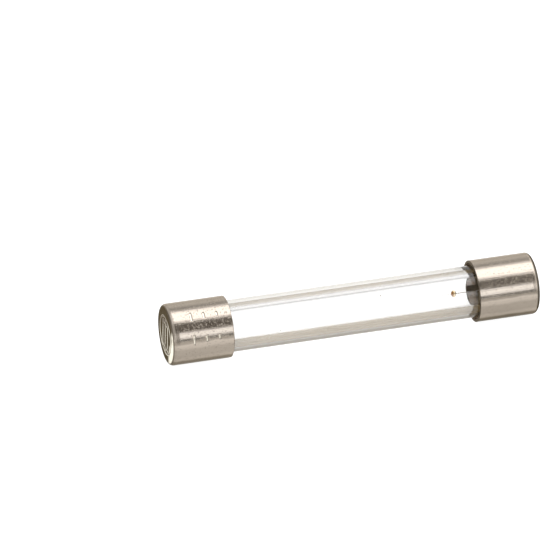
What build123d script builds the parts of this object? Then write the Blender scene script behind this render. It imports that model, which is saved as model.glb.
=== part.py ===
"""Glass cartridge fuse, 5 x 30 mm class, as an assembly of separate pieces.

Frame: millimetres, +X along the fuse axis, +Z up, origin at the centre of the fuse.
Each piece is one solid, written to parts/NAME.step.
"""

import os

from build123d import *

# Whole fuse
fuse_length = 30.5
cap_diameter = 5.0

# Drawn end caps
cap_length = 5.05
cap_wall = 0.22
cap_floor = 0.25
cap_corner_radius = 0.35
cap_inner_corner_radius = 0.12
cap_mouth_radius = 0.05

# Glass tube
glass_diameter = 4.2
glass_wall = 0.95
glass_end_radius = 0.12

# Solder pool between a cap's floor and the glass, with a dome that rises inside the bore
solder_thickness = 0.4
solder_dome_clearance = 0.1
solder_dome_height = 0.6

# Cement ring that holds a cap on the glass
cement_setback = 1.1
cement_end_gap = 0.3

# Fuse element: a hairline, a bead where it is joined, and a thicker lead to the right cap
hairline_diameter = 0.02
lead_diameter = 0.08
wire_tail = 0.45
bead_length = 0.46
bead_diameter = 0.6
bead_past_mouth = 1.6
wire_depth_in_bead = 0.14

# Marks stamped in the left cap: a ring and a fuse symbol on its end, tick marks on its side
mark_depth = 0.06
mark_line = 0.14
ring_mark_diameter = 3.3
symbol_line = 0.24
symbol_length = 2.4
symbol_width = 1.6
symbol_middle_length = 2.9
tick_depth = 0.05
tick_lengths = (0.75, 0.5, 0.35)
tick_pitch = 1.05
tick_first_from_end = 1.75
tick_row_angles = (17.0, 61.0)

# Worked out from the sizes above
half_length = fuse_length / 2
cap_radius = cap_diameter / 2
cap_bore_radius = cap_radius - cap_wall
cap_mouth_x = half_length - cap_length
glass_radius = glass_diameter / 2
glass_bore_radius = glass_radius - glass_wall
cap_floor_x = half_length - cap_floor
glass_end_x = cap_floor_x - solder_thickness
solder_tip_x = glass_end_x - solder_dome_height
wire_end_x = solder_tip_x + wire_tail
bead_x = cap_mouth_x - bead_past_mouth


def turned(corners, rounded=()):
    """Solid turned about the fuse axis from (x, radius) corners.

    rounded lists (corner, radius) pairs for the corners that are rounded off.
    """
    section = make_face(Polyline(*corners, close=True))
    for (x, y), radius in rounded:
        corner = section.vertices().sort_by_distance((x, y, 0))[0]
        section = fillet(corner, radius)
    return revolve(section, Axis.X)


def rod(diameter, from_x, to_x):
    """Straight wire on the fuse axis."""
    length = to_x - from_x
    return Pos((from_x + to_x) / 2, 0, 0) * Rot(0, 90, 0) * Cylinder(diameter / 2, length)


def mirrored(shape):
    """The same piece for the left end."""
    return mirror(shape, Plane.YZ)


def plain_cap():
    """Cup drawn from thin sheet, for the right end: closed at +X, with its mouth towards the middle."""
    outer_corner = (half_length, cap_radius)
    inner_corner = (cap_floor_x, cap_bore_radius)
    mouth_corner = (cap_mouth_x, cap_radius)
    corners = [
        (half_length, 0),
        outer_corner,
        mouth_corner,
        (cap_mouth_x, cap_bore_radius),
        inner_corner,
        (cap_floor_x, 0),
    ]
    rounded = [
        (outer_corner, cap_corner_radius),
        (inner_corner, cap_inner_corner_radius),
        (mouth_corner, cap_mouth_radius),
    ]
    return turned(corners, rounded)


def end_mark():
    """Cutter for the ring and the fuse symbol, a box with a line through it, on the left end face."""
    face = Plane(origin=(-half_length, 0, 0), x_dir=(0, 0, 1), z_dir=(-1, 0, 0))
    ring_radius = ring_mark_diameter / 2
    ring = Circle(ring_radius) - Circle(ring_radius - mark_line)
    box = Rectangle(symbol_length, symbol_width)
    box -= Rectangle(symbol_length - 2 * symbol_line, symbol_width - 2 * symbol_line)
    line = Rectangle(symbol_middle_length, symbol_line)
    return extrude(face * (ring + box + line), amount=mark_depth, both=True)


def side_ticks():
    """Cutters for rows of tick marks round the side of the left cap, each shorter than the one before."""
    tick_bottom = cap_radius - tick_depth
    ticks = []
    for angle in tick_row_angles:
        for column, tick_length in enumerate(tick_lengths):
            x = -half_length + tick_first_from_end + column * tick_pitch
            block = Box(mark_line, tick_length, 2 * tick_depth + mark_line)
            middle = tick_bottom + tick_depth + mark_line / 2
            ticks.append(Rot(90 - angle, 0, 0) * Pos(x, 0, middle) * block)
    return ticks


def marked_cap():
    """The left cap, with its stamped marks."""
    cap = mirrored(plain_cap()) - end_mark()
    for tick in side_ticks():
        cap -= tick
    return cap


def glass_tube():
    """Straight glass tube whose cut ends are melted round."""
    corners = [
        (-glass_end_x, glass_bore_radius),
        (-glass_end_x, glass_radius),
        (glass_end_x, glass_radius),
        (glass_end_x, glass_bore_radius),
    ]
    return turned(corners, [(corner, glass_end_radius) for corner in corners])


def cement_ring():
    """Ring of cement in the gap between the right cap and the glass."""
    from_x = cap_mouth_x + cement_setback
    to_x = glass_end_x - cement_end_gap
    corners = [
        (from_x, glass_radius),
        (from_x, cap_bore_radius),
        (to_x, cap_bore_radius),
        (to_x, glass_radius),
    ]
    return turned(corners)


def solder_pool(wire_diameter):
    """Solder in the floor of the right cap, domed inside the glass, with a wire's end held in it."""
    dome_edge_radius = glass_bore_radius - solder_dome_clearance
    dome_radius = (dome_edge_radius**2 + solder_dome_height**2) / (2 * solder_dome_height)
    dome = Pos(solder_tip_x + dome_radius, 0, 0) * Sphere(dome_radius)
    dome &= rod(2 * dome_edge_radius, solder_tip_x, glass_end_x)
    disc = rod(glass_diameter, glass_end_x, cap_floor_x)
    return dome + disc - rod(wire_diameter, solder_tip_x, wire_end_x)


def hairline():
    """The fuse element itself, from the left cap's solder to the bead."""
    return rod(hairline_diameter, -wire_end_x, bead_x - bead_length / 2 + wire_depth_in_bead)


def lead_wire():
    """The thicker wire between the bead and the right cap's solder."""
    return rod(lead_diameter, bead_x + bead_length / 2 - wire_depth_in_bead, wire_end_x)


def joint_bead():
    """Bead of metal that joins the hairline to the lead wire."""
    half = bead_length / 2
    arc = EllipticalCenterArc((bead_x, 0), half, bead_diameter / 2, arc_size=180)
    ball = revolve(make_face([arc, Line(arc @ 1, arc @ 0)]), Axis.X)
    return ball - hairline() - lead_wire()


pieces = {
    "glass_tube": glass_tube(),
    "left_cap": marked_cap(),
    "right_cap": plain_cap(),
    "left_cement": mirrored(cement_ring()),
    "right_cement": cement_ring(),
    "left_solder": mirrored(solder_pool(hairline_diameter)),
    "right_solder": solder_pool(lead_diameter),
    "fuse_wire": hairline(),
    "lead_wire": lead_wire(),
    "joint_bead": joint_bead(),
}

os.makedirs("parts", exist_ok=True)
for name, piece in pieces.items():
    export_step(piece, f"parts/{name}.step")
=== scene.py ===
"""Looks of the glass cartridge fuse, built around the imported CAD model.

Metres, +X along the fuse axis from the stamped left cap to the plain right cap, +Z up, origin at the
fuse's centre. MM turns the millimetres that sizes are given in into metres. The node materials work in
millimetres, so distances there have no MM.
"""

import cmath
import math

import bmesh
import bpy
from mathutils import Matrix, Vector, noise


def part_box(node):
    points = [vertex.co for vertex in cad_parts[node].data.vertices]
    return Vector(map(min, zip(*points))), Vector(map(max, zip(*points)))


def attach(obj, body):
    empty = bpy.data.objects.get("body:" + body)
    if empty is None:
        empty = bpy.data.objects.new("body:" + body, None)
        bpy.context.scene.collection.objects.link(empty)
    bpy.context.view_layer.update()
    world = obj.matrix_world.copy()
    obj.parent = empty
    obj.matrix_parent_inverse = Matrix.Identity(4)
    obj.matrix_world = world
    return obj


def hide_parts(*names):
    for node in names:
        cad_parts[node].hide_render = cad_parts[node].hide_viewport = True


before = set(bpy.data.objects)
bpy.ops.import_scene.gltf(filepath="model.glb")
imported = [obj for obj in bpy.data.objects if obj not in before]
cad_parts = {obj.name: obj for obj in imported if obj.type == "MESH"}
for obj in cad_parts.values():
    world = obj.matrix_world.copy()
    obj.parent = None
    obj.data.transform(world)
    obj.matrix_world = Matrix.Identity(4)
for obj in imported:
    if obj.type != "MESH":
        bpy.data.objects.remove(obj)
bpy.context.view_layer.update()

MM = 0.001

# Sizes read from the frame
glass_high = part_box("glass_tube")[1]
right_low, right_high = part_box("right_cap")
solder_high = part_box("right_solder")[1]
cement_low, cement_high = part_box("right_cement")
bead_low, bead_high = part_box("joint_bead")
half_length = right_high.x
cap_radius = right_high.z
cap_mouth_x = right_low.x
cap_bore_radius = cement_high.z
cap_floor_x = solder_high.x
glass_end_x = glass_high.x
glass_radius = glass_high.z

# The places that the node materials use, in millimetres
END = half_length / MM
MOUTH = cap_mouth_x / MM
CAP_BORE = cap_bore_radius / MM
BEAD_MIDDLE = (bead_low.x + bead_high.x) / 2 / MM

# Sizes that the CAD model gives and a box doesn't
GLASS_WALL = 0.95 * MM
GLASS_END_RADIUS = 0.12 * MM
CAP_CORNER_RADIUS = 0.35 * MM
CAP_INNER_CORNER_RADIUS = 0.12 * MM
CAP_MOUTH_RADIUS = 0.05 * MM
MARK_DEPTH = 0.06 * MM
MARK_LINE = 0.14 * MM
RING_MARK_RADIUS = 1.65 * MM
SYMBOL_LINE = 0.24 * MM
SYMBOL_LENGTH = 2.4 * MM
SYMBOL_WIDTH = 1.6 * MM
SYMBOL_MIDDLE_LENGTH = 2.9 * MM
TICK_DEPTH = 0.05 * MM
TICK_LENGTHS = (0.75 * MM, 0.5 * MM, 0.35 * MM)
TICK_PITCH = 1.05 * MM
TICK_FIRST_FROM_END = 1.75 * MM
TICK_ROW_ANGLES = (17.0, 61.0)
DOME_EDGE_CLEARANCE = 0.1 * MM
DOME_HEIGHT = 0.6 * MM

# Soft edge of a stamped line
MARK_SHOULDER = 0.07 * MM

# Width and greatest depth of the dents in the solder's dome and in the cement's edge, and the rim of the
# dome that stays smooth
DOME_DENT = (0.5 * MM, 0.03 * MM)
CEMENT_DENT = (0.8 * MM, 0.4 * MM)
DOME_SMOOTH_RIM = 0.02 * MM

# The bead's greatest dent as a share of its radius, its lumps to each radius, and the place in the noise
# that gives it its shape
BEAD_DENT = 0.15
BEAD_LUMPS = 1.6
BEAD_NOISE_START = (3.0, 1.11, 2.13)

# How finely the pieces are drawn: segments round the axis, steps along it and steps in a rounded corner
CAP_SEGMENTS = 384
SOLDER_SEGMENTS = 128
CEMENT_SEGMENTS = 192
WIRE_SEGMENTS = 12
MARKED_STEP = 0.05 * MM
PLAIN_STEP = 0.1 * MM
CAP_EDGE_STEP = 0.05 * MM
CAP_BORE_STEP = 0.3 * MM
CAP_FLOOR_STEP = 0.2 * MM
GLASS_STEP = 0.6 * MM
CEMENT_STEP = 0.15 * MM
WIRE_STEP = 0.25 * MM
DOME_STEPS = 24
ARC_STEPS = 8

# How near to each other two places count as the same
TOUCH = 1e-7

# Light from the overhead softbox, from the slant directions towards the right and the left end, and from
# beyond the left end
SOFTBOX = 2.6
RIGHT_LIGHT = 2.4
LEFT_LIGHT = 0.9
END_LIGHT = 0.75

# How far a direction points along the fuse where each of those lights starts and where it is full, and the
# share of the bands' light that the slant ones replace
RIGHT_SLANT = (0.30, 0.42)
LEFT_SLANT = (0.05, -0.15)
END_SLANT = (-0.62, -0.74)
SLANT_SHARE = 0.7

# Tints of the light
PLAIN = (1.0, 1.0, 1.0)
COOL = (1.0, 1.01, 1.05)
MILD = (0.97, 1.0, 1.05)
WARM = (1.0, 0.90, 0.80)

# Degrees round the fuse, from the camera's side over the top to the far side, with the light and its tint
LIGHT_BANDS = [
    (-180, 0.35, PLAIN),
    (-2, 0.10, PLAIN),
    (8, 0.06, PLAIN),
    (11.5, 1.85, MILD),
    (28, 2.15, MILD),
    (35, 0.14, WARM),
    (61, 0.14, WARM),
    (70, 0.38, PLAIN),
    (79, SOFTBOX, COOL),
    (114, SOFTBOX, COOL),
    (123, 0.80, PLAIN),
    (132, 0.50, PLAIN),
    (140, 0.55, PLAIN),
    (147, 0.85, PLAIN),
    (156, 1.00, PLAIN),
    (180, 1.00, PLAIN),
]

# Height on a cap, in millimetres, with the painted shade that the plate gets there, and the height they span
# Painted shade: darker low down, where the caps mirror the floor shaded by the fuse, and in a high band
LOW_SHADE_STEPS = [
    (-1.65, 1.0),
    (-1.35, 0.88),
    (-1.13, 0.3),
    (-0.95, 0.3),
    (-0.7, 0.5),
    (-0.05, 0.5),
    (0.15, 0.25),
    (0.42, 0.12),
    (0.53, 0.5),
    (0.66, 0.62),
    (0.80, 0.3),
    (0.92, 0.0),
]
LOW_SHADE_SPAN = 5.0

# Where masks on the caps start and where they are full, in millimetres from the fuse's middle or its axis
END_FACE = (END - 0.07, END - 0.03)
# The rim round the closed end gets painted shade
END_RIM = (END - 0.33, END - 0.22)
# The cut edge at the mouth gets painted shade
CUT_EDGE = (MOUTH + 0.06, MOUTH + 0.02)
CUP_INSIDE = (CAP_BORE + 0.10, CAP_BORE + 0.04)
# Deeper in the cup the wall gets painted shade
CUP_DEPTH = (MOUTH + 0.50, MOUTH + 0.95)

# The dark crease round the end face and the brown patch by the corner: their place in millimetres from the
# middle, how far they reach from it and how far they are full
CREASE = (END - 0.07, 0.06, 0.02)
PATCH = (END - 0.43, 0.20, 0.08)

# Heights on a cap in millimetres: rise and fall of the patch and of the stripe inside, and the stained top
PATCH_HEIGHTS = (0.5, 0.9, 1.7, 2.1)
STRIPE_HEIGHTS = (-1.35, -1.15, -0.60, -0.35)
STAINED_TOP = (1.2, 1.7)

# Painted shade and highlights on the end face, in millimetres on it: where the painted highlight on one side
# gives way to the painted shade of the rest, and where the struck marks turn from shaded at the top to a
# painted highlight, with how those edges slope and wander. STRUCK is the stamped depth, from 0 to 1, that
# counts as struck
HIGHLIGHT_EDGE = (-1.9, -1.2)
HIGHLIGHT_SLOPE = 0.3
HIGHLIGHT_WANDER = 0.7
BRIGHT_MARKS = (1.7, 0.4)
BRIGHT_SLOPE = 0.6
STRUCK = (0.0, 0.45)

# How dark pits and the patch are for each millimetre of pitting
PIT_DARKNESS = 100
PATCH_DARKNESS = 115

# Degrees round the bore, like the light's, with how thick the smoky film and its painted shade are there
# Thicker where the bore mirrors floor shaded by the fuse, as painted shade
FILM_AND_SHADE_STEPS = [
    (-75, 0.45),
    (-50, 0.65),
    (-15, 0.64),
    (20, 0.30),
    (80, 0.05),
    (100, 0.12),
    (112, 0.55),
    (140, 0.55),
    (170, 0.45),
]
SPECKS_PER_MM = 0.45
SPECK_EDGE = (0.05, 0.02)
SPECK_COVER = 0.6

# Where the glass is seen edge on, from 0 to 1, and places in millimetres of its low side and its brown cover
EDGE_ON = (0.08, 0.72)
# Low side of the glass, which gets painted shade
GLASS_LOW_SIDE = (-0.45, -0.95)
BROWN_BELOW = (-0.50, -0.85)
BROWN_FRONT = (0.0, -0.5)
BROWN_SHARE = 0.22

# Where the bead goes from brown scale to gold, in millimetres along the fuse
BEAD_TURN = (BEAD_MIDDLE - 0.16, BEAD_MIDDLE + 0.04)

# Stretches that draw a pattern out along the fuse
DRAWN = (0.03, 1, 1)
STREAKED = (0.05, 1, 1)

# Colours and tints of the finishes. A pair is the two ends of a cloudy mix
PLATE = ((0.48, 0.42, 0.353), (0.445, 0.388, 0.326))
# Painted shade on the caps' low side
LOW_SHADE = (0.125, 0.104, 0.077)
# Painted shade round the corner of the closed end
SHADED_RIM = (0.07, 0.06, 0.05)
# Painted shade on the end face
SHADED_END = (0.12, 0.105, 0.085)
# Painted highlight on the end face's lit side and on the marks
PAINTED_HIGHLIGHT = (0.95, 0.90, 0.76)
CUP_WALL = ((0.40, 0.32, 0.22), (0.85, 0.69, 0.57))
# Olive stain inside the caps, also their painted shade deeper in
CUP_STAIN_AND_SHADE = (0.06, 0.05, 0.025)
# Nearly black: painted shade at the cut edge and the marks' edges, also the crease, pits and patch
GRIME_AND_SHADE = (0.10, 0.08, 0.06)
PLATE_GRAZING = (0.60, 0.57, 0.52)
# Grazing reflection tints for the painted shade and the painted highlight
SHADED_GRAZING = (0.36, 0.33, 0.28)
HIGHLIGHT_GRAZING = (1.0, 0.98, 0.92)
SOLDER = ((0.60, 0.60, 0.59), (0.72, 0.72, 0.71))
WIRE = ((0.46, 0.42, 0.37), (0.58, 0.54, 0.48))
BEAD_SCALE = (0.30, 0.15, 0.05)
BEAD_GOLD = (1.0, 0.84, 0.56)
CEMENT = ((0.52, 0.48, 0.40), (0.72, 0.69, 0.62))

GLASS_IOR = 1.52
GLASS_FACE = (0.995, 0.995, 0.99)
# Painted shade where the glass is seen edge on, darker on the low side, for the shaded floor it shows
GLASS_EDGE_TINT_AND_SHADE = (0.42, 0.385, 0.32)
GLASS_LOW_EDGE_SHADE = (0.10, 0.085, 0.06)
# Warm painted sheen on the glass's low side
GLASS_LOW_PAINTED_SHEEN = (0.85, 0.70, 0.55)
BORE_FACE = (0.99, 0.99, 0.985)
LIGHT_LET_THROUGH = (0.97, 0.97, 0.965)
# Brown cover low on the front of the glass
LOW_FRONT_BROWN = (0.26, 0.21, 0.13)
# Smoky film on the bore, also its painted shade
SMOKE_AND_SHADE = (0.24, 0.18, 0.09)


def grey(value):
    """A value as a colour."""
    return (value, value, value)


# ---------------------------------------------------------------- node trees


class Tree:
    """Short calls that add shader nodes to a node tree and link them."""

    def __init__(self, tree):
        self.tree = tree

    def node(self, kind, **settings):
        made = self.tree.nodes.new(kind)
        for name, value in settings.items():
            setattr(made, name, value)
        return made

    def link(self, source, target):
        """Feeds an input from an output, or sets it to a plain value or colour."""
        if isinstance(source, bpy.types.NodeSocket):
            self.tree.links.new(source, target)
        elif target.type == "RGBA":
            target.default_value = (*source, 1.0)
        else:
            target.default_value = source

    def math(self, operation, *values, clamp=False):
        made = self.node("ShaderNodeMath", operation=operation, use_clamp=clamp)
        for value, target in zip(values, made.inputs):
            self.link(value, target)
        return made.outputs[0]

    def chain(self, operation, first, *others):
        result = first
        for other in others:
            result = self.math(operation, result, other)
        return result

    def times(self, *values):
        return self.chain("MULTIPLY", *values)

    def most(self, *values):
        return self.chain("MAXIMUM", *values)

    def plus(self, a, b):
        return self.math("ADD", a, b)

    def rest(self, value):
        """What is left up to 1."""
        return self.math("SUBTRACT", 1.0, value)

    def split(self, vector):
        made = self.node("ShaderNodeSeparateXYZ")
        self.link(vector, made.inputs[0])
        return made.outputs[0], made.outputs[1], made.outputs[2]

    def ramp(self, factor, stops):
        """Colour ramp from (position, colour) stops."""
        made = self.node("ShaderNodeValToRGB")
        elements = made.color_ramp.elements
        while len(elements) > 1:
            elements.remove(elements[-1])
        elements[0].position = stops[0][0]
        elements[0].color = (*stops[0][1], 1.0)
        for position, colour in stops[1:]:
            elements.new(position).color = (*colour, 1.0)
        self.link(factor, made.inputs["Fac"])
        return made.outputs["Color"]

    def ramp_over(self, value, span, stops):
        """Colour ramp from (value, colour) stops that lie within half of span on either side of 0."""
        position = self.plus(self.times(value, 1 / span), 0.5)
        return self.ramp(position, [(stop / span + 0.5, colour) for stop, colour in stops])

    def ramp_round(self, y, z, stops):
        """Colour ramp round the fuse axis from (degrees, colour) stops, with 0 at -Y and 90 at +Z."""
        angle = self.math("ARCTAN2", z, self.times(y, -1.0))
        return self.ramp_over(angle, 2 * math.pi, [(math.radians(stop), colour) for stop, colour in stops])

    def between(self, factor, low, high):
        """A number that goes from low to high as factor goes from 0 to 1."""
        made = self.node("ShaderNodeMapRange")
        self.link(factor, made.inputs["Value"])
        self.link(low, made.inputs["To Min"])
        self.link(high, made.inputs["To Max"])
        return made.outputs["Result"]

    def smooth(self, value, start, end):
        """A smooth step from 0 at start to 1 at end, which may be lower than start."""
        made = self.node("ShaderNodeMapRange", interpolation_type="SMOOTHSTEP")
        self.link(value, made.inputs["Value"])
        made.inputs["From Min"].default_value = start
        made.inputs["From Max"].default_value = end
        return made.outputs["Result"]

    def near(self, value, place, outer, inner):
        """1 within inner of a place and 0 beyond outer."""
        return self.smooth(self.math("ABSOLUTE", self.math("SUBTRACT", value, place)), outer, inner)

    def band(self, value, rise_start, rise_end, fall_start, fall_end):
        """A smooth step up and then down."""
        return self.times(self.smooth(value, rise_start, rise_end), self.smooth(value, fall_end, fall_start))

    def mix(self, factor, a, b):
        """A colour between a and b."""
        made = self.node("ShaderNodeMix", data_type="RGBA")
        self.link(factor, made.inputs["Factor"])
        self.link(a, made.inputs[6])
        self.link(b, made.inputs[7])
        return made.outputs[2]

    def cover(self, factor, surface, top):
        """A surface shader, covered by another one as far as factor says."""
        made = self.node("ShaderNodeMixShader")
        for source, target in zip((factor, surface, top), made.inputs):
            self.link(source, target)
        return made.outputs[0]

    def plain_shader(self, kind, colour):
        """A diffuse or transparent shader of one colour."""
        made = self.node(kind)
        self.link(colour, made.inputs["Color"])
        return made.outputs[0]

    def place_mm(self, stretch=(1, 1, 1)):
        """Place on the object in millimetres, with each axis scaled by stretch."""
        mapping = self.node("ShaderNodeMapping")
        self.link(self.node("ShaderNodeTexCoord").outputs["Object"], mapping.inputs["Vector"])
        mapping.inputs["Scale"].default_value = [s / MM for s in stretch]
        return mapping.outputs["Vector"]

    def noise(self, scale, detail=4.0, roughness=0.55, stretch=(1, 1, 1)):
        """Cloudy noise with about scale features to the millimetre."""
        made = self.node("ShaderNodeTexNoise")
        self.link(self.place_mm(stretch), made.inputs["Vector"])
        made.inputs["Scale"].default_value = scale
        made.inputs["Detail"].default_value = detail
        made.inputs["Roughness"].default_value = roughness
        return made.outputs["Fac"]

    def bump(self, height, depth_mm, under=None):
        """A normal bent by a height field whose full range is depth_mm."""
        made = self.node("ShaderNodeBump")
        made.inputs["Strength"].default_value = 1.0
        made.inputs["Distance"].default_value = depth_mm * MM
        self.link(height, made.inputs["Height"])
        if under is not None:
            self.link(under, made.inputs["Normal"])
        return made.outputs["Normal"]


# ---------------------------------------------------------------- camera, floor and light


def make_camera():
    """Long-lens camera at the photograph's viewing angle."""
    azimuth = math.radians(-16.41)
    elevation = math.radians(32.53)
    roll = math.radians(0.905)
    distance = 794.5 * MM
    look_at = Vector((-3.085, 9.278, -2.5)) * MM
    level = math.cos(elevation)
    towards = Vector((math.sin(azimuth) * level, -math.cos(azimuth) * level, math.sin(elevation)))
    camera = bpy.data.objects.new("camera", bpy.data.cameras.new("camera"))
    camera.data.sensor_width = 36.0
    camera.data.lens = 632.95
    camera.data.clip_start = 0.01
    turn = towards.to_track_quat("Z", "Y").to_matrix().to_4x4() @ Matrix.Rotation(roll, 4, "Z")
    camera.matrix_world = Matrix.Translation(look_at + distance * towards) @ turn
    bpy.context.scene.collection.objects.link(camera)
    bpy.context.scene.camera = camera


def make_floor():
    """Plain pale floor that the fuse lies on, bright enough to hold no shadow."""
    size = 3.0
    corners = [(x, y, -cap_radius) for x, y in ((-size, -size), (size, -size), (size, size), (-size, size))]
    mesh = bpy.data.meshes.new("floor")
    mesh.from_pydata(corners, [], [(0, 1, 2, 3)])
    material, _, shader = new_material("floor")
    shader.inputs["Base Color"].default_value = (*grey(0.3), 1)
    shader.inputs["Roughness"].default_value = 0.9
    shader.inputs["Specular IOR Level"].default_value = 0.1
    shader.inputs["Emission Color"].default_value = (*PLAIN, 1)
    shader.inputs["Emission Strength"].default_value = 0.94
    add_object("floor", mesh, material)


def make_studio():
    """World light: soft bands that run along the fuse, as from an overhead softbox and dark surroundings."""
    world = bpy.data.worlds.new("studio")
    bpy.context.scene.world = world
    world.use_nodes = True
    tree = Tree(world.node_tree)
    background = world.node_tree.nodes["Background"]
    x, y, z = tree.split(tree.node("ShaderNodeTexCoord").outputs["Generated"])
    stops = []
    for degrees, light, tint in LIGHT_BANDS:
        stops.append((degrees, tuple(light / SOFTBOX * t for t in tint)))
    bands = tree.ramp_round(y, z, stops)
    right = tree.mix(SLANT_SHARE, bands, grey(RIGHT_LIGHT / SOFTBOX))
    left = tree.mix(SLANT_SHARE, bands, grey(LEFT_LIGHT / SOFTBOX))
    light = tree.mix(tree.smooth(x, *RIGHT_SLANT), bands, right)
    light = tree.mix(tree.smooth(x, *LEFT_SLANT), light, left)
    light = tree.mix(tree.smooth(x, *END_SLANT), light, grey(END_LIGHT / SOFTBOX))
    tree.link(light, background.inputs["Color"])
    background.inputs["Strength"].default_value = SOFTBOX


# ---------------------------------------------------------------- finishes


def new_material(name):
    """A material, its node helper and its Principled shader."""
    material = bpy.data.materials.new(name)
    material.use_nodes = True
    return material, Tree(material.node_tree), material.node_tree.nodes["Principled BSDF"]


def end_face_shading(tree, end_face, mark, cloud, end_shading):
    """Where the end face gets painted shade, and where it and the marks get a bright painted highlight."""
    _, y_mm, z_mm = tree.split(tree.place_mm())
    struck = tree.smooth(mark, *STRUCK)
    across = tree.plus(y_mm, tree.times(z_mm, HIGHLIGHT_SLOPE))
    across = tree.plus(across, tree.between(cloud, -HIGHLIGHT_WANDER, HIGHLIGHT_WANDER))
    beyond_highlight = tree.smooth(across, *HIGHLIGHT_EDGE)
    end_shade = tree.times(end_face, tree.rest(struck), beyond_highlight, end_shading)
    highlit = tree.times(end_face, tree.rest(beyond_highlight), end_shading)
    up = tree.plus(z_mm, tree.times(y_mm, BRIGHT_SLOPE))
    bright_end_mark = tree.times(struck, end_face, tree.smooth(up, *BRIGHT_MARKS))
    bright_side_mark = tree.times(mark, tree.between(end_face, 0.6, 0.0))
    return end_shade, tree.most(highlit, bright_end_mark, bright_side_mark)


def grime_and_shade_mask(tree, from_middle, height, end_face, mark, cloud, pits, pitting):
    """Nearly black plate: crease, pits, patch, and painted shade at the cut edge and the marks' edges."""
    crease = tree.times(tree.near(from_middle, *CREASE), tree.between(cloud, 0.6, 1.0))
    # Painted shade on the cut edge
    cut_edge = tree.smooth(from_middle, *CUT_EDGE)
    # Painted shade on the shoulders of the stamped lines
    mark_edges = tree.times(mark, tree.rest(mark), tree.between(end_face, 2.6, 0.0))
    dark_pits = tree.times(pits, PIT_DARKNESS * pitting)
    patch = tree.times(tree.band(height, *PATCH_HEIGHTS), tree.near(from_middle, *PATCH))
    patch = tree.times(patch, PATCH_DARKNESS * pitting)
    return tree.most(crease, mark_edges, cut_edge, dark_pits, patch)


def cup_wall_colour(tree, from_middle, height):
    """The inside of a cap: blotchy, with an olive stain along it and on top, and painted shade deeper in."""
    blotch = tree.smooth(tree.noise(scale=7.0), 0.25, 0.60)
    stripe = tree.band(height, *STRIPE_HEIGHTS)
    top = tree.smooth(height, *STAINED_TOP)
    deep = tree.smooth(from_middle, *CUP_DEPTH)
    stain_and_shade = tree.times(tree.most(stripe, top, deep), 0.85)
    return tree.mix(stain_and_shade, tree.mix(blotch, *CUP_WALL), CUP_STAIN_AND_SHADE)


def nickel_material(name, pitting, draw, low_shading, rim_shade, end_shading):
    """Bright nickel plate on drawn brass: draw lines, pits, stained inside, painted shade and highlights.

    pitting and draw are the depths of the pits and the draw lines in millimetres. The next two, from 0 to 1,
    are how much painted shade the plate gets on the side that the fuse lies on and round the corner of the
    closed end. The last, from 0 to 1, is how strongly the end face gets painted shade and highlights.
    """
    material, tree, shader = new_material(name)
    x_mm, y_mm, z_mm = tree.split(tree.place_mm())
    from_middle = tree.math("ABSOLUTE", x_mm)
    from_axis = tree.math("SQRT", tree.plus(tree.times(y_mm, y_mm), tree.times(z_mm, z_mm)))
    cloud = tree.noise(scale=0.9, detail=3.0)
    height = tree.plus(z_mm, tree.between(cloud, -0.15, 0.15))
    pits = tree.smooth(tree.noise(scale=9.0, detail=2.0), 0.60, 0.70)
    lines = tree.noise(scale=9.0, detail=6.0, roughness=0.7, stretch=DRAWN)
    mark = tree.node("ShaderNodeAttribute", attribute_name="recess").outputs["Fac"]

    end_face = tree.smooth(from_middle, *END_FACE)
    inside = tree.times(tree.smooth(from_axis, *CUP_INSIDE), tree.rest(end_face))
    rim = tree.smooth(from_middle, *END_RIM)
    rim = tree.times(rim, tree.math("SUBTRACT", rim_shade, end_face, clamp=True))
    end_shade, highlight = end_face_shading(tree, end_face, mark, cloud, end_shading)
    dark = grime_and_shade_mask(tree, from_middle, height, end_face, mark, cloud, pits, pitting)

    # Painted shade low down, for the floor shaded by the fuse that the caps mirror there
    shaded_low = tree.ramp_over(height, LOW_SHADE_SPAN, [(z, grey(step)) for z, step in LOW_SHADE_STEPS])
    colour = tree.mix(tree.times(shaded_low, low_shading), tree.mix(cloud, *PLATE), LOW_SHADE)
    # Painted shade round the corner of the closed end
    colour = tree.mix(rim, colour, SHADED_RIM)
    # Painted shade on the end face, then a painted highlight on its lit side and marks
    colour = tree.mix(end_shade, colour, SHADED_END)
    colour = tree.mix(highlight, colour, PAINTED_HIGHLIGHT)
    colour = tree.mix(inside, colour, cup_wall_colour(tree, from_middle, height))
    # Nearly black where painted shade falls, and at the crease, pits and patch
    colour = tree.mix(dark, colour, GRIME_AND_SHADE)
    tree.link(colour, shader.inputs["Base Color"])
    shader.inputs["Metallic"].default_value = 1.0
    # Grazing reflection darker under the painted shade, brighter at the painted highlight
    grazing = tree.mix(tree.most(end_shade, rim), PLATE_GRAZING, SHADED_GRAZING)
    tree.link(tree.mix(highlight, grazing, HIGHLIGHT_GRAZING), shader.inputs["Specular Tint"])
    rougher = tree.times(tree.most(end_shade, inside, dark), 0.2)
    tree.link(tree.plus(tree.between(lines, 0.09, 0.19), rougher), shader.inputs["Roughness"])
    mottle = tree.noise(scale=8.0, detail=5.0, roughness=0.7)
    fine = tree.bump(tree.math("SUBTRACT", mottle, pits), pitting)
    tree.link(tree.bump(lines, draw, under=fine), shader.inputs["Normal"])
    return material


def clear_material(name):
    """A material whose Principled shader is smooth clear glass."""
    material, tree, shader = new_material(name)
    shader.inputs["Transmission Weight"].default_value = 1.0
    shader.inputs["IOR"].default_value = GLASS_IOR
    shader.inputs["Roughness"].default_value = 0.0
    return material, tree, shader


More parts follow.
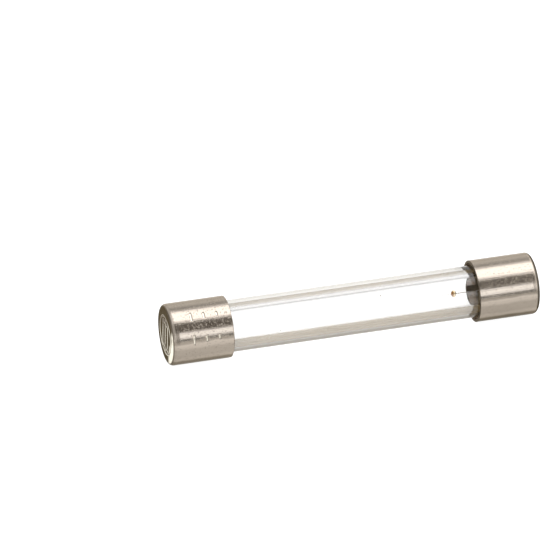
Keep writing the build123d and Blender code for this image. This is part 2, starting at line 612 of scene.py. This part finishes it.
def let_light_through(material, tree, surface):
    """Clears a glass surface for light on its way to other surfaces, so that it casts next to no shadow."""
    path = tree.node("ShaderNodeLightPath")
    open_to_light = tree.most(path.outputs["Is Shadow Ray"], path.outputs["Is Diffuse Ray"])
    clear = tree.plain_shader("ShaderNodeBsdfTransparent", LIGHT_LET_THROUGH)
    joined = tree.cover(open_to_light, surface, clear)
    tree.link(joined, material.node_tree.nodes["Material Output"].inputs["Surface"])


def glass_material():
    """Clear drawn glass, faintly yellow with painted shade when seen edge on, brown low on the front."""
    material, tree, shader = clear_material("clear_glass")
    _, y_mm, z_mm = tree.split(tree.place_mm())
    edge_on = tree.smooth(tree.node("ShaderNodeLayerWeight").outputs["Facing"], *EDGE_ON)
    # Painted shade and a warm painted sheen low down, where the glass shows floor shaded by the fuse
    shaded_low = tree.smooth(z_mm, *GLASS_LOW_SIDE)
    edge = tree.mix(shaded_low, GLASS_EDGE_TINT_AND_SHADE, GLASS_LOW_EDGE_SHADE)
    tree.link(tree.mix(edge_on, GLASS_FACE, edge), shader.inputs["Base Color"])
    tree.link(tree.mix(shaded_low, PLAIN, GLASS_LOW_PAINTED_SHEEN), shader.inputs["Specular Tint"])
    draw_lines = tree.noise(scale=1.1, detail=2.0, stretch=DRAWN)
    tree.link(tree.bump(draw_lines, depth_mm=0.002), shader.inputs["Normal"])
    # A brownish cover, darker low on the front of the glass
    brown_cover = tree.times(tree.smooth(z_mm, *BROWN_BELOW), tree.smooth(y_mm, *BROWN_FRONT), BROWN_SHARE)
    brown_layer = tree.plain_shader("ShaderNodeBsdfDiffuse", LOW_FRONT_BROWN)
    let_light_through(material, tree, tree.cover(brown_cover, shader.outputs[0], brown_layer))
    return material


def bore_material():
    """The same glass: a thin smoky film and painted shade dim what its edge mirrors; a few specks."""
    material, tree, shader = clear_material("filmed_shaded_glass")
    tree.link(BORE_FACE, shader.inputs["Base Color"])
    _, y_mm, z_mm = tree.split(tree.place_mm())
    # Film thicker where the bore mirrors shaded floor: painted shade
    film_and_shade = tree.ramp_round(y_mm, z_mm, [(degrees, grey(thickness)) for degrees, thickness in FILM_AND_SHADE_STEPS])
    streaks = tree.noise(scale=1.5, detail=3.0, stretch=STREAKED)
    mirrored = tree.node("ShaderNodeFresnel")
    mirrored.inputs["IOR"].default_value = GLASS_IOR
    film_and_shade = tree.times(mirrored.outputs[0], film_and_shade, tree.between(streaks, 0.8, 1.2))
    dots = tree.node("ShaderNodeTexVoronoi")
    tree.link(tree.place_mm(), dots.inputs["Vector"])
    dots.inputs["Scale"].default_value = SPECKS_PER_MM
    specks = tree.times(tree.smooth(dots.outputs["Distance"], *SPECK_EDGE), SPECK_COVER)
    smoke_and_shade = tree.plain_shader("ShaderNodeBsdfDiffuse", SMOKE_AND_SHADE)
    let_light_through(material, tree, tree.cover(tree.most(film_and_shade, specks), shader.outputs[0], smoke_and_shade))
    return material


def metal_material(name, colours, roughness, grain, depth_mm):
    """Small metal piece: two colours in a cloudy mix, uneven roughness and a grain of a given depth."""
    material, tree, shader = new_material(name)
    cloud = tree.noise(scale=grain)
    tree.link(tree.mix(cloud, *colours), shader.inputs["Base Color"])
    shader.inputs["Metallic"].default_value = 1.0
    tree.link(tree.between(cloud, *roughness), shader.inputs["Roughness"])
    tree.link(tree.bump(tree.noise(scale=3 * grain), depth_mm), shader.inputs["Normal"])
    return material


def bead_material():
    """Melted bead: dark brown scale on the hairline's side, pale gold on the lead wire's."""
    material, tree, shader = new_material("bead_gold")
    x_mm, _, _ = tree.split(tree.place_mm())
    cloud = tree.noise(scale=4.0)
    along = tree.plus(x_mm, tree.between(cloud, -0.2, 0.2))
    gold = tree.smooth(along, *BEAD_TURN)
    tree.link(tree.mix(gold, BEAD_SCALE, BEAD_GOLD), shader.inputs["Base Color"])
    shader.inputs["Metallic"].default_value = 1.0
    tree.link(tree.between(cloud, 0.3, 0.55), shader.inputs["Roughness"])
    tree.link(tree.bump(tree.noise(scale=12.0), depth_mm=0.02), shader.inputs["Normal"])
    return material


def cement_material():
    """Matt, slightly yellow mineral cement."""
    material, tree, shader = new_material("cap_cement")
    cloud = tree.noise(scale=2.5, detail=5.0)
    tree.link(tree.mix(cloud, *CEMENT), shader.inputs["Base Color"])
    tree.link(tree.between(cloud, 0.75, 0.95), shader.inputs["Roughness"])
    tree.link(tree.bump(tree.noise(scale=12.0), depth_mm=0.02), shader.inputs["Normal"])
    return material


# ---------------------------------------------------------------- mesh helpers


def add_object(name, mesh, material):
    """A smooth-shaded object at the origin, linked into the scene."""
    mesh.polygons.foreach_set("use_smooth", [True] * len(mesh.polygons))
    mesh.materials.append(material)
    mesh.update()
    made = bpy.data.objects.new(name, mesh)
    bpy.context.scene.collection.objects.link(made)
    return made


def keep(piece, node):
    """Puts a piece on the root body that it rides on and hides the CAD node that it stands for."""
    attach(piece, "root")
    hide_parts(node)


def unit(step):
    """The same direction with length 1."""
    return step / abs(step)


def rounded_corner(before, here, after, rounding):
    """Points x + r j along a corner rounded off between its neighbours."""
    if rounding == 0:
        return [here]
    back, on = unit(before - here), unit(after - here)
    half_angle = abs(cmath.phase(on / back)) / 2
    cut = rounding / math.tan(half_angle)
    centre = here + unit(back + on) * rounding / math.sin(half_angle)
    first, last = here + back * cut, here + on * cut
    arc = [first]
    for k in range(1, ARC_STEPS):
        chord = first + (last - first) * k / ARC_STEPS
        arc.append(centre + unit(chord - centre) * rounding)
    return arc + [last]


def turned_path(corners, step, closed):
    """Points x + r j along a path of (x, r, rounding) corners, with its straight runs cut to step.

    A fourth value on a corner sets the step of the run that starts there.
    """
    places = [complex(*corner[:2]) for corner in corners]
    following = places[1:] + places[:1]
    arcs = []
    for i, corner in enumerate(corners):
        arcs.append(rounded_corner(places[i - 1], places[i], following[i], corner[2]))
    path = []
    for i, arc in enumerate(arcs):
        path.extend(arc)
        if i == len(arcs) - 1 and not closed:
            break
        run = arcs[(i + 1) % len(arcs)][0] - arc[-1]
        run_step = corners[i][3] if len(corners[i]) > 3 else step
        pieces = max(1, math.ceil(abs(run) / run_step))
        path.extend(arc[-1] + run * k / pieces for k in range(1, pieces))
    return path


def ring_faces(a, b, segments):
    """Faces between two rings of vertices, either of which may be one vertex on the axis."""
    faces = []
    for k in range(segments):
        n = (k + 1) % segments
        if len(a) == 1:
            faces.append((a[0], b[k], b[n]))
        elif len(b) == 1:
            faces.append((a[k], b[0], a[n]))
        else:
            faces.append((a[k], b[k], b[n], a[n]))
    return faces


def turned(name, path, material, segments, closed=False, relief=None):
    """A body turned about the X axis from a path of points x + r j.

    A path that isn't closed starts and ends on the axis. relief gives each point's new place and its
    recess from 0 to 1.
    """
    vertices, recess, rings = [], [], []
    for point in path:
        if point.imag < TOUCH:
            rings.append([len(vertices)])
            vertices.append((point.real, 0, 0))
            recess.append(0.0)
            continue
        rings.append(range(len(vertices), len(vertices) + segments))
        for k in range(segments):
            turn = 2 * math.pi * k / segments
            place = Vector((point.real, point.imag * math.sin(turn), point.imag * math.cos(turn)))
            depth = 0.0
            if relief:
                place, depth = relief(place)
            vertices.append(place)
            recess.append(depth)
    pairs = list(zip(rings, rings[1:]))
    if closed:
        pairs.append((rings[-1], rings[0]))
    faces = []
    for a, b in pairs:
        faces.extend(ring_faces(a, b, segments))
    mesh = bpy.data.meshes.new(name)
    mesh.from_pydata(vertices, [], faces)
    point_out(mesh)
    attribute = mesh.attributes.new("recess", "FLOAT", "POINT")
    attribute.data.foreach_set("value", recess)
    return add_object(name, mesh, material)


def point_out(mesh):
    """Turns every face of a closed mesh outward."""
    work = bmesh.new()
    work.from_mesh(mesh)
    bmesh.ops.recalc_face_normals(work, faces=work.faces)
    if work.calc_volume(signed=True) < 0:
        bmesh.ops.reverse_faces(work, faces=work.faces)
    work.to_mesh(mesh)
    work.free()


def sunk(place, dent):
    """How far an uneven surface is sunk at a place, from the width and greatest depth of its dents."""
    width, depth = dent
    return abs(noise.noise(place / width)) * depth


# ---------------------------------------------------------------- stamped marks


def soft_step(distance):
    """1 well inside a stamped line, 0 outside it, with a soft shoulder between."""
    t = min(max(0.5 - distance / MARK_SHOULDER, 0.0), 1.0)
    return t * t * (3 - 2 * t)


def box_distance(a, b, half_a, half_b):
    """Distance from a point to the edge of a rectangle, negative inside."""
    da, db = abs(a) - half_a, abs(b) - half_b
    outside = math.hypot(max(da, 0.0), max(db, 0.0))
    return outside + min(max(da, db), 0.0)


def end_mark_depth(up, across):
    """How deep the ring and the fuse symbol are at a place on the end face, from 0 to 1."""
    half_line = SYMBOL_LINE / 2
    ring = abs(math.hypot(up, across) - (RING_MARK_RADIUS - MARK_LINE / 2)) - MARK_LINE / 2
    to_box = box_distance(up, across, SYMBOL_LENGTH / 2 - half_line, SYMBOL_WIDTH / 2 - half_line)
    outline = abs(to_box) - half_line
    line = box_distance(up, across, SYMBOL_MIDDLE_LENGTH / 2, half_line)
    return soft_step(min(ring, outline, line))


def tick_mark_depth(x, turn):
    """How deep the side's tick marks are at a place on the cap, from 0 to 1."""
    deepest = 0.0
    for angle in TICK_ROW_ANGLES:
        along = (turn - math.radians(angle)) * cap_radius
        for column, length in enumerate(TICK_LENGTHS):
            middle = -half_length + TICK_FIRST_FROM_END + column * TICK_PITCH
            distance = box_distance(x - middle, along, MARK_LINE / 2, length / 2)
            deepest = max(deepest, soft_step(distance))
    return deepest


def stamped(place):
    """Sinks a point of the left cap's outside where its marks are stamped."""
    radius = math.hypot(place.y, place.z)
    if place.x < -half_length + TOUCH:
        depth = end_mark_depth(place.z, place.y)
        return place + Vector((depth * MARK_DEPTH, 0, 0)), depth
    if radius > cap_radius - TOUCH:
        depth = tick_mark_depth(place.x, math.atan2(place.z, -place.y))
        inward = Vector((0, -place.y, -place.z)) / radius
        return place + depth * TICK_DEPTH * inward, depth
    return place, 0.0


# ---------------------------------------------------------------- pieces


def make_cap(name, node, side, material, step, relief=None):
    """Drawn cup: side is -1 for the left cap and 1 for the right one."""
    corners = [
        (side * half_length, 0, 0),
        (side * half_length, cap_radius, CAP_CORNER_RADIUS),
        (side * cap_mouth_x, cap_radius, CAP_MOUTH_RADIUS, CAP_EDGE_STEP),
        (side * cap_mouth_x, cap_bore_radius, CAP_MOUTH_RADIUS / 2, CAP_BORE_STEP),
        (side * cap_floor_x, cap_bore_radius, CAP_INNER_CORNER_RADIUS, CAP_FLOOR_STEP),
        (side * cap_floor_x, 0, 0),
    ]
    path = turned_path(corners, step, closed=False)
    keep(turned(name, path, material, CAP_SEGMENTS, relief=relief), node)


def make_glass(material, bore_finish):
    """The tube, with its ends melted round."""
    bore = glass_radius - GLASS_WALL
    just_past_bore = 1.001 * bore
    corners = [
        (-glass_end_x, glass_radius, GLASS_END_RADIUS),
        (glass_end_x, glass_radius, GLASS_END_RADIUS),
        (glass_end_x, bore, GLASS_END_RADIUS),
        (-glass_end_x, bore, GLASS_END_RADIUS),
    ]
    path = turned_path(corners, GLASS_STEP, closed=True)
    tube = turned("glass_tube_body", path, material, CAP_SEGMENTS, closed=True)
    tube.data.materials.append(bore_finish)
    for face in tube.data.polygons:
        if math.hypot(face.center.y, face.center.z) < just_past_bore:
            face.material_index = 1
    keep(tube, "glass_tube")


def make_solder(name, node, side, material):
    """Solder pool with an uneven dome."""
    edge_radius = glass_radius - GLASS_WALL - DOME_EDGE_CLEARANCE
    path = [
        complex(side * cap_floor_x, 0),
        complex(side * cap_floor_x, glass_radius),
        complex(side * glass_end_x, glass_radius),
    ]
    for k in range(DOME_STEPS + 1):
        r = edge_radius * (1 - k / DOME_STEPS)
        rise = DOME_HEIGHT * (1 - (r / edge_radius) ** 2)
        path.append(complex(side * (glass_end_x - rise), r))

    def uneven(place):
        on_dome = abs(place.x) < glass_end_x - DOME_SMOOTH_RIM
        return place + Vector((side * sunk(place, DOME_DENT) * on_dome, 0, 0)), 0.0

    keep(turned(name, path, material, SOLDER_SEGMENTS, relief=uneven), node)


def make_cement(name, node, side, material):
    """Cement ring with a slightly uneven edge."""
    corners = [
        (side * cement_low.x, glass_radius, 0),
        (side * cement_low.x, cap_bore_radius, 0),
        (side * cement_high.x, cap_bore_radius, 0),
        (side * cement_high.x, glass_radius, 0),
    ]
    path = turned_path(corners, CEMENT_STEP, closed=True)

    def uneven(place):
        on_edge = abs(abs(place.x) - cement_low.x) < TOUCH
        return place + Vector((side * sunk(place, CEMENT_DENT) * on_edge, 0, 0)), 0.0

    keep(turned(name, path, material, CEMENT_SEGMENTS, closed=True, relief=uneven), node)


def make_wire(name, node, material):
    """Straight round wire on the axis."""
    low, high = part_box(node)
    corners = [(low.x, 0, 0), (low.x, high.z, 0), (high.x, high.z, 0), (high.x, 0, 0)]
    path = turned_path(corners, WIRE_STEP, closed=False)
    keep(turned(name, path, material, WIRE_SEGMENTS), node)


def make_bead(material):
    """The bead: a drop flattened along the fuse, pushed in unevenly and a little lopsided."""
    centre = (bead_low + bead_high) / 2
    radii = (bead_high - bead_low) / 2
    work = bmesh.new()
    bmesh.ops.create_icosphere(work, subdivisions=5, radius=1.0)
    for vertex in work.verts:
        lump = noise.noise(vertex.co * BEAD_LUMPS + Vector(BEAD_NOISE_START))
        push = 1 - BEAD_DENT * (0.5 + 0.5 * lump)
        vertex.co = centre + vertex.co * radii * push
    mesh = bpy.data.meshes.new("bead_drop")
    work.to_mesh(mesh)
    work.free()
    keep(add_object("bead_drop", mesh, material), "joint_bead")


make_camera()
make_floor()
make_studio()
bpy.context.scene.view_settings.view_transform = "Standard"

left_nickel = nickel_material(
    "pitted_nickel", pitting=0.006, draw=0.006, low_shading=0.85, rim_shade=0.1, end_shading=1.0
)
right_nickel = nickel_material(
    "smooth_nickel", pitting=0.0035, draw=0.008, low_shading=1.0, rim_shade=1.0, end_shading=0.2
)
solder = metal_material("solder", SOLDER, roughness=(0.25, 0.5), grain=3.0, depth_mm=0.01)
wire_metal = metal_material("wire", WIRE, roughness=(0.2, 0.35), grain=5.0, depth_mm=0.002)
cement = cement_material()

make_cap("left_cap_shell", "left_cap", -1, left_nickel, MARKED_STEP, relief=stamped)
make_cap("right_cap_shell", "right_cap", 1, right_nickel, PLAIN_STEP)
make_glass(glass_material(), bore_material())
make_solder("left_solder_pool", "left_solder", -1, solder)
make_solder("right_solder_pool", "right_solder", 1, solder)
make_cement("left_cement_ring", "left_cement", -1, cement)
make_cement("right_cement_ring", "right_cement", 1, cement)
make_wire("hairline", "fuse_wire", wire_metal)
make_wire("lead_wire_body", "lead_wire", wire_metal)
make_bead(bead_material())
